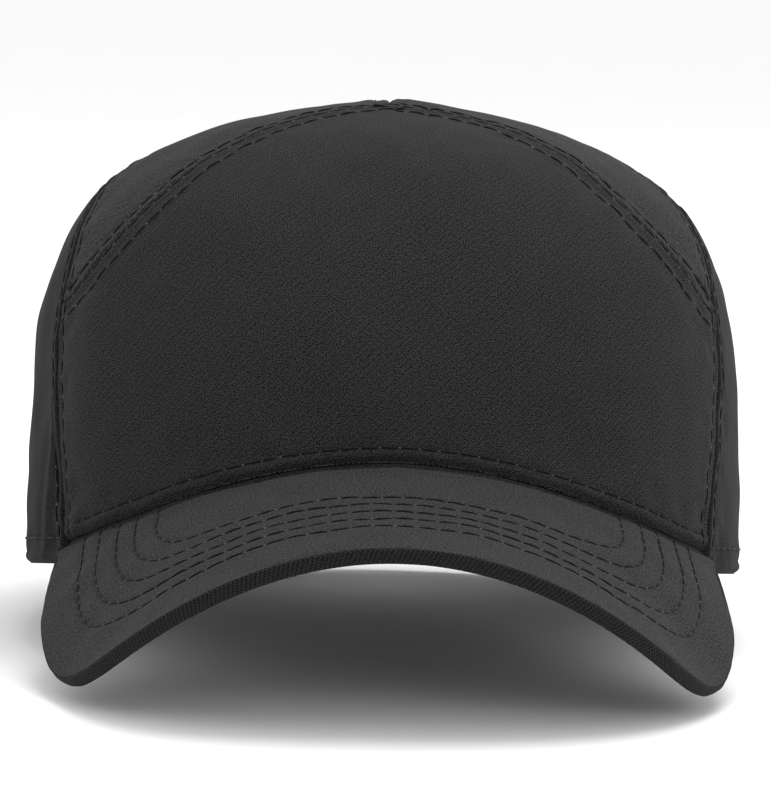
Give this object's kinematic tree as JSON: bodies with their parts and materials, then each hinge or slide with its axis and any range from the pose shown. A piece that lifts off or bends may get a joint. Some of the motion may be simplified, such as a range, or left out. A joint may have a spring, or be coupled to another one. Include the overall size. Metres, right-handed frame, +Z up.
{
  "type": "baseball cap",
  "caption": "Seven-panel structured cap with a pre-curved stitched visor, sweatband, stitched eyelets and a strap-and-buckle back closure.",
  "frame": {"origin": "centre of the bounding box, on the surface the cap rests on", "axes": "-Y the way the wearer faces, +X the wearer's left, +Z up from the table the cap rests on"},
  "size_m": [0.168, 0.2626, 0.124],
  "materials": {
    "shell_fabric": "black-grey woven polyester",
    "buckram": "stiff open weave",
    "tape": "folded seam tape",
    "band_fabric": "soft woven sweatband",
    "board": "moulded board",
    "metal": "dark nickel",
    "thread": "embroidered"
  },
  "bodies": {
    "crown": {"front_panel": "shell_fabric", "top_panel_left": "shell_fabric", "top_panel_right": "shell_fabric", "side_panel_left": "shell_fabric", "side_panel_right": "shell_fabric", "back_panel_left": "shell_fabric", "back_panel_right": "shell_fabric", "front_stiffener": "buckram", "tape_side_left": "tape", "tape_side_right": "tape", "tape_arch": "tape", "tape_centre": "tape", "tape_rear_left": "tape", "tape_rear_right": "tape", "tape_back": "tape", "tape_opening": "tape", "sweatband": "band_fabric", "visor_top_cover": "shell_fabric", "visor_board": "board", "visor_under_cover": "shell_fabric", "button_cover": "shell_fabric", "button_backing": "metal", "eyelet_side_left": "thread", "eyelet_side_right": "thread", "eyelet_back_left": "thread", "eyelet_back_right": "thread", "buckle_frame": "metal", "buckle_pin": "metal", "buckle_loop": "shell_fabric"},
    "strap": {"closure_strap": "shell_fabric"},
    "lever": {"buckle_lever": "metal"}
  },
  "joints": [
    {"name": "strap_adjust", "type": "hinge", "parent": "crown", "child": "strap", "pos_m": [0, 0.05628, 0.02146], "axis": [0, 0.1392, 0.9903], "range_deg": [-11.5, 11.5]},
    {"name": "buckle_lever", "type": "hinge", "parent": "crown", "child": "lever", "pos_m": [-0.02673, 0.12524, 0.01176], "axis": [0, -0.1392, -0.9903], "range_deg": [0, 100]}
  ]
}
